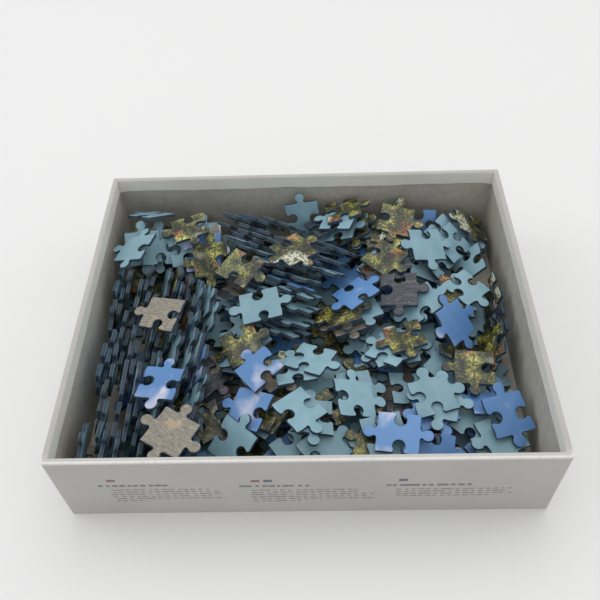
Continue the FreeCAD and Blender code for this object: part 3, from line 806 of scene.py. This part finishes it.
# the tray's covering paper, one sheet round all four sides: lengths in millimetres
coverSheet = {
    "cornerRound": 0.9,
    "rimRound": 0.35,
    "paper": 0.38,
    "turnIn": 9.0,
    "tuck": 1.2,            # the turned-in paper hangs this much lower at a corner
    "tuckReach": 6.0,
    "waver": 0.25,
    "waves": ((61.0, 1.0, 0.0), (151.0, 0.6, 1.0), (337.0, 0.4, 2.0)),  # turning, size and start
    "foot": ((0.5, 0.0, 0.0), (0.12, 0.04, 0.6), (0.0, 0.45, 0.9)),     # inset, height and wear
    "outerLevels": (0.04, 0.25, 0.5, 0.75, 0.96),                       # shares of the height
    "innerLevels": (0.12, 0.4, 0.7, 0.97),                              # shares of the turned-in strip
    "rimWear": (1.0, 0.2, 0.25),        # outer edge, top and inner edge of the front rim, whitened there as a painted highlight
    "cutWear": 0.5,
    "otherWear": 0.05,                  # how much of that rim whitening is left away from the front rim, as wear
    "inkRoom": 0.03,                    # left free for the printed dashes
    "step": 4.0,
    "cornerSteps": 6,
    "rimSteps": 4,
    "crease": 50.0,                     # degrees
    "merge": 0.001,
}
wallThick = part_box("wrap_front")[1].y - cadLow.y
boardInset = wallThick - coverSheet["paper"] * mm


def waver(distance):
    # how far the cut edge of the turned-in paper strays, at a distance along it
    stray = sum(size * math.sin(distance * turning + start) for turning, size, start in coverSheet["waves"])
    return stray * coverSheet["waver"] * mm


def coverProfile(top):
    # inset from the outside, height and whitening of each line of the paper, from underneath and over the
    # rim: wear, and on the front rim a painted highlight
    r = coverSheet["rimRound"] * mm
    outerWearAndHighlight, topWearAndHighlight, innerWearAndHighlight = coverSheet["rimWear"]
    turns = [math.pi / 2.0 * step / coverSheet["rimSteps"] for step in range(coverSheet["rimSteps"] + 1)]
    lines = [(inset * mm, height * mm, worn) for inset, height, worn in coverSheet["foot"]]
    lines += [(0.0, top * share, 0.0) for share in coverSheet["outerLevels"]]
    for turn in turns:
        lines.append((r - r * math.cos(turn), top - r + r * math.sin(turn), outerWearAndHighlight))
    lines.append((wallThick / 2.0, top, topWearAndHighlight))
    for turn in turns:
        lines.append((wallThick - r + r * math.sin(turn), top - r + r * math.cos(turn), innerWearAndHighlight))
    for share in coverSheet["innerLevels"]:
        lines.append((wallThick, top - share * coverSheet["turnIn"] * mm, 0.0))
    return lines


def coverPath(halfX, halfY):
    # stations round the tray: the corner or side they are on, as signs and a share along the side
    stations = []
    corners = ((1, -1), (1, 1), (-1, 1), (-1, -1))
    for index, (sx, sy) in enumerate(corners):
        start = -math.pi / 2.0 + index * math.pi / 2.0
        for step in range(coverSheet["cornerSteps"] + 1):
            turn = start + math.pi / 2.0 * step / coverSheet["cornerSteps"]
            stations.append(("corner", sx, sy, turn))
        nx, ny = corners[(index + 1) % 4]
        length = 2.0 * (halfY if sx == nx else halfX)
        count = int(length / (coverSheet["step"] * mm))
        for step in range(1, count):
            stations.append(("side", (sx, sy), (nx, ny), step / count))
    return stations


def coverPoint(station, inset, halfX, halfY):
    # where a station is in plan, at an inset from the outside
    r = coverSheet["cornerRound"] * mm
    keep = max(r, inset)
    if station[0] == "corner":
        _, sx, sy, turn = station
        reach = max(r - inset, 0.0)
        return Vector((sx * (halfX - keep) + reach * math.cos(turn),
                       sy * (halfY - keep) + reach * math.sin(turn)))
    _, (ax, ay), (bx, by), share = station
    start = Vector((ax * (halfX - keep), ay * (halfY - keep)))
    end = Vector((bx * (halfX - keep), by * (halfY - keep)))
    point = start.lerp(end, share)
    if ax == bx:
        point.x = ax * (halfX - inset)
    else:
        point.y = ay * (halfY - inset)
    return point


def cutHeight(flat, halfX, halfY, top, distance):
    # where the turned-in paper ends, lower near a corner
    reach = coverSheet["tuckReach"] * mm
    fromCorner = min(halfX - wallThick - abs(flat.x) + halfY - wallThick - abs(flat.y), reach)
    drop = coverSheet["turnIn"] + coverSheet["tuck"] * (1.0 - fromCorner / reach)
    return top - drop * mm + waver(distance)


def makeCover():
    halfX, halfY, top = cadHigh.x, cadHigh.y - coverSheet["inkRoom"] * mm, cadHigh.z
    stations = coverPath(halfX, halfY)
    bm = bmesh.new()
    wear = bm.verts.layers.float.new("wear")
    inside = bm.verts.layers.float.new("inside")

    def addPoint(flat, height, worn, turnedIn):
        vert = bm.verts.new((flat.x, flat.y, height))
        vert[wear] = worn
        vert[inside] = turnedIn
        return vert

    rings = []
    for inset, height, worn in coverProfile(top):
        upper = height > top / 2.0
        onInnerFace = inset > 0.99 * wallThick
        # painted light: the upper lines of the inner face take the lighter copy of the paper
        turnedIn = 1.0 if upper and onInnerFace else 0.0
        ring = []
        for station in stations:
            flat = coverPoint(station, inset, halfX, halfY)
            # painted highlight: the rim of the front wall gets the full whitening, the other sides only a
            # little wear
            share = 1.0 if upper and flat.y < wallThick - halfY else coverSheet["otherWear"]
            ring.append(addPoint(flat, height, worn * share, turnedIn))
        rings.append(ring)
    edge, tucked = [], []
    distance, before = 0.0, coverPoint(stations[0], wallThick, halfX, halfY)
    for station in stations:
        flat = coverPoint(station, wallThick, halfX, halfY)
        distance += (flat - before).length
        before = flat
        low = cutHeight(flat, halfX, halfY, top, distance)
        # the cut edge and its tuck take the lighter, painted-light copy of the paper too
        edge.append(addPoint(flat, low, coverSheet["cutWear"], 1.0))
        flat = coverPoint(station, boardInset, halfX, halfY)
        tucked.append(addPoint(flat, low, coverSheet["cutWear"], 1.0))
    rings += [edge, tucked]
    count = len(stations)
    for lower, upper in zip(rings, rings[1:]):
        for index in range(count):
            after = (index + 1) % count
            bm.faces.new((lower[index], lower[after], upper[after], upper[index]))
    bmesh.ops.remove_doubles(bm, verts=bm.verts, dist=coverSheet["merge"] * mm)
    bmesh.ops.dissolve_degenerate(bm, dist=coverSheet["merge"] * mm / 10.0, edges=bm.edges)
    mesh = bpy.data.meshes.new("coverPaper")
    bm.to_mesh(mesh)
    bm.free()
    mesh.materials.append(finishes["coverPaper"])
    mesh.shade_smooth()
    thing = bpy.data.objects.new("trayCoverPaper", mesh)
    bpy.context.collection.objects.link(thing)
    mesh.set_sharp_from_angle(angle=math.radians(coverSheet["crease"]))
    return thing


cover = makeCover()
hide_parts("wrap_front", "wrap_back", "wrap_left", "wrap_right")
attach(cover, "tray")

# the tray's other nodes keep their CAD meshes
trayFinish = {"tray_board": "greyBoard", "wrap_base": "coverPaper"}
trayFinish |= {node: "stayPaper" for node in frame["nodes"] if node.startswith("corner_stay")}
for node, finish in trayFinish.items():
    frame["nodes"][node].data.materials.clear()
    frame["nodes"][node].data.materials.append(finishes[finish])
print("tray covered")


# plain dashes and chips where the front wall is printed: lengths in millimetres
dashSizes = {
    "proud": 0.045,
    "slant": 0.1,           # each line starts this much further right
    "stray": 0.16,          # how far a dash may be off its place, as a share of the pitch
    "shortest": 0.38,       # shares of the pitch
    "longest": 0.98,
    "lengthSeed": 100,
}
heading = {"pitch": 3.6, "height": 1.9, "seed": 10}
smallLines = {
    "pitch": 3.7, "height": 0.75, "apart": 2.5, "ragged": 2.4, "indent": 5.5, "drop": 4.6, "seed": 20,
}
chips = {"width": 4.4, "height": 2.4, "indent": 7.0, "apart": 6.2, "rise": 5.6, "seed": 30}


def makeDashRule():
    # rows of dashes of uneven length, each a thin block that stands a little proud of the paper
    rule = Rule("textDashes", [
        ("Words", "NodeSocketInt", 16),
        ("Lines", "NodeSocketInt", 1),
        ("Word pitch", "NodeSocketFloat", smallLines["pitch"] * mm),
        ("Line pitch", "NodeSocketFloat", smallLines["apart"] * mm),
        ("Dash height", "NodeSocketFloat", smallLines["height"] * mm),
        ("Proud", "NodeSocketFloat", dashSizes["proud"] * mm),
        ("Slant", "NodeSocketFloat", dashSizes["slant"] * mm),
        ("Ragged", "NodeSocketFloat", 0.0),
        ("Last line", "NodeSocketFloat", 1.0),
        ("Shortest", "NodeSocketFloat", dashSizes["shortest"]),
        ("Longest", "NodeSocketFloat", dashSizes["longest"]),
        ("Seed", "NodeSocketInt", 1),
        ("Ink", "NodeSocketMaterial", None),
    ])
    words, lines, seed = rule.given("Words"), rule.given("Lines"), rule.given("Seed")
    points = rule.node("GeometryNodePoints", values={"Count": rule.maths("MULTIPLY", words, lines)})
    index = rule.node("GeometryNodeInputIndex")
    line = rule.maths("FLOOR", rule.maths("DIVIDE", index, words), 0.0)
    word = rule.maths("SUBTRACT", index, rule.maths("MULTIPLY", line, words))
    stray = rule.drawn(-dashSizes["stray"], dashSizes["stray"], index, seed)
    across = rule.maths("MULTIPLY", rule.maths("ADD", word, stray), rule.given("Word pitch"))
    across = rule.maths("ADD", across, rule.maths("MULTIPLY", line, rule.given("Slant")))
    down = rule.maths("MULTIPLY", rule.maths("MULTIPLY", line, rule.given("Line pitch")), -1.0)
    place = rule.node("ShaderNodeCombineXYZ", values={0: across, 2: down})
    points = rule.node("GeometryNodeSetPosition", values={"Geometry": points, "Position": place})

    # lines end at different places, and the last one stops short
    missing = rule.drawn(0.0, rule.given("Ragged"), line, seed)
    isLast = rule.maths("GREATER_THAN", line, rule.maths("SUBTRACT", lines, 1.5))
    shorter = rule.maths("MULTIPLY", isLast, rule.maths("SUBTRACT", rule.given("Last line"), 1.0))
    share = rule.maths("ADD", shorter, 1.0)
    limit = rule.maths("MULTIPLY", rule.maths("SUBTRACT", words, missing), share)
    beyond = rule.maths("GREATER_THAN", rule.maths("ADD", word, 0.5), limit)
    points = rule.node("GeometryNodeDeleteGeometry", {"domain": "POINT"}, {
        "Geometry": points, "Selection": beyond})

    length = rule.drawn(rule.given("Shortest"), rule.given("Longest"), index,
                        rule.maths("ADD", seed, dashSizes["lengthSeed"]))
    scale = rule.node("ShaderNodeCombineXYZ", values={
        0: rule.maths("MULTIPLY", length, rule.given("Word pitch")),
        1: rule.given("Proud"), 2: rule.given("Dash height")})
    dash = rule.node("GeometryNodeMeshCube", values={"Size": (1.0, 1.0, 1.0)})
    rows = rule.node("GeometryNodeInstanceOnPoints", values={
        "Points": points, "Instance": dash, "Scale": scale})
    rule.finish(rows, ((rule.given("Ink"), True),))
    return rule


dashRule = makeDashRule()

# three blocks on the front wall: left end and height of the heading, mm from the middle and the underside
textBlocks = (
    {"name": "textLeft", "x": -103.0, "z": 32.6, "heading": 10, "lines": 6, "words": 16, "last": 0.3,
     "chips": ("chipWarm",)},
    {"name": "textMiddle", "x": -32.0, "z": 30.6, "heading": 10, "lines": 6, "words": 17, "last": 0.45,
     "chips": ("chipWarm", "chipCool")},
    {"name": "textRight", "x": 41.0, "z": 30.0, "heading": 12, "lines": 4, "words": 17, "last": 0.8,
     "chips": ("chipCool",)},
)


def addDashes(name, x, z, seed, ink, values):
    mesh = bpy.data.meshes.new(name)
    thing = bpy.data.objects.new(name, mesh)
    bpy.context.collection.objects.link(thing)
    dashRule.apply(thing, {"Seed": seed, "Ink": finishes[ink]} | values)
    thing.data.transform(Matrix.Translation((x * mm, cadLow.y + dashSizes["proud"] / 2.0 * mm, z * mm)))
    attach(thing, "tray")


def printBlock(number, block):
    name, x, z = block["name"], block["x"], block["z"]
    addDashes(name + "Heading", x, z, heading["seed"] + number, "textInk", {
        "Words": block["heading"], "Lines": 1,
        "Word pitch": heading["pitch"] * mm, "Dash height": heading["height"] * mm})
    addDashes(name + "Lines", x + smallLines["indent"], z - smallLines["drop"],
              smallLines["seed"] + number, "textInk", {
                  "Words": block["words"], "Lines": block["lines"], "Last line": block["last"],
                  "Word pitch": smallLines["pitch"] * mm, "Line pitch": smallLines["apart"] * mm,
                  "Dash height": smallLines["height"] * mm, "Ragged": smallLines["ragged"]})
    for place, ink in enumerate(block["chips"]):
        left = x + chips["indent"] + chips["apart"] * place
        addDashes(f"{name}Chip{place + 1}", left, z + chips["rise"], chips["seed"] + number, ink, {
            "Words": 1, "Lines": 1, "Shortest": 1.0, "Longest": 1.0,
            "Word pitch": chips["width"] * mm, "Dash height": chips["height"] * mm})


for number, block in enumerate(textBlocks):
    printBlock(number, block)
print("front wall printed")


# floor, light and camera
studio = {
    "floor": white(0.82),
    "floorHalf": 3.0,
    "grainScale": 30.0,
    "world": 0.75,
    "lights": (
        {"name": "overhead", "at": (0.1, 0.5, 1.5), "size": 1.2, "power": 5.5, "shade": (1.0, 0.995, 0.985)},
        {"name": "rightSide", "at": (1.25, 0.25, 0.95), "size": 0.9, "power": 1.5, "shade": (1, 1, 0.99)},
        {"name": "leftSide", "at": (-1.25, 0.2, 0.95), "size": 0.9, "power": 3.5, "shade": (1, 1, 1)},
    ),
}


def makeFloor():
    f = Finish("paleFloor", Base_Color=studio["floor"], Roughness=0.6)
    grain = f.noise(f.objectPlace(), studio["grainScale"], 3.0)
    f.paint("Roughness", 0.55 + grain * 0.1)
    mesh = bpy.data.meshes.new("paleFloor")
    half = studio["floorHalf"]
    corners = [(-half, -half, 0), (half, -half, 0), (half, half, 0), (-half, half, 0)]
    mesh.from_pydata(corners, [], [(0, 1, 2, 3)])
    mesh.materials.append(f.material)
    floor = bpy.data.objects.new("paleFloor", mesh)
    bpy.context.collection.objects.link(floor)


def makeLights():
    for light in studio["lights"]:
        data = bpy.data.lights.new(light["name"], "AREA")
        data.shape = "SQUARE"
        data.size = light["size"]
        data.energy = light["power"]
        data.color = light["shade"]
        lamp = bpy.data.objects.new(light["name"], data)
        lamp.location = light["at"]
        lamp.rotation_euler = (-Vector(light["at"])).to_track_quat("-Z", "Y").to_euler()
        bpy.context.collection.objects.link(lamp)
    world = bpy.data.worlds.new("studio")
    world.use_nodes = True
    world.node_tree.nodes["Background"].inputs["Color"].default_value = white(1.0)
    world.node_tree.nodes["Background"].inputs["Strength"].default_value = studio["world"]
    bpy.context.scene.world = world
    bpy.context.scene.view_settings.view_transform = "Standard"


viewpoint = {
    "at": (8.9, -263.7, 364.4),     # millimetres
    "looks": (-0.0283, 0.6441, -0.7644),
    "up": (0.0190, 0.7649, 0.6438),
    "lens": 43.16,
    "sensor": 36.0,
}


def makeCamera():
    data = bpy.data.cameras.new("camera")
    data.sensor_width = viewpoint["sensor"]
    data.lens = viewpoint["lens"]
    back = -Vector(viewpoint["looks"]).normalized()
    right = Vector(viewpoint["up"]).cross(back).normalized()
    up = back.cross(right)
    camera = bpy.data.objects.new("camera", data)
    place = Matrix((right, up, back)).transposed().to_4x4()
    place.translation = Vector(viewpoint["at"]) * mm
    camera.matrix_world = place
    bpy.context.collection.objects.link(camera)
    bpy.context.scene.camera = camera


makeFloor()
makeLights()
makeCamera()
print("stage set")

bpy.context.view_layer.update()
